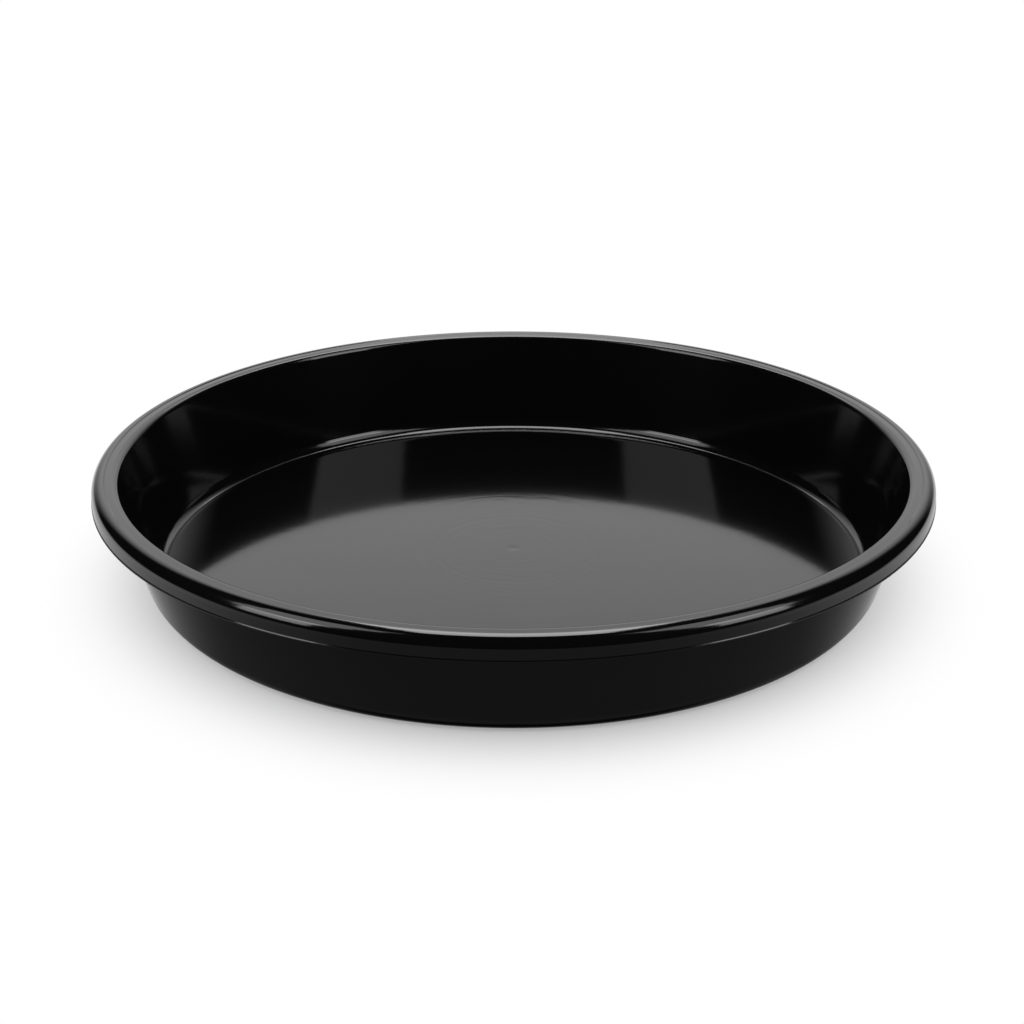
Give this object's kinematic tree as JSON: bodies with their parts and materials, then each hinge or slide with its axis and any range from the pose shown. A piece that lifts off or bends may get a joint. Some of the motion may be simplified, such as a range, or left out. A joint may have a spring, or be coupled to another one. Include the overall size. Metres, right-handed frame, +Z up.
{
  "type": "plant pot saucer",
  "caption": "Round moulded saucer with a sloping wall, a flat floor and a turned-down rim, which stands under a plant pot and catches its water.",
  "frame": {"origin": "centre of the foot ring, on the ground", "axes": "+Z up, out of the open dish; X and Y are alike because the body is round"},
  "size_m": [0.3, 0.3, 0.0415],
  "materials": {
    "black_plastic": "black polypropylene with a polished moulded gloss and faint flow marks"
  },
  "bodies": {
    "root": {"saucer": "black_plastic"}
  },
  "joints": []
}
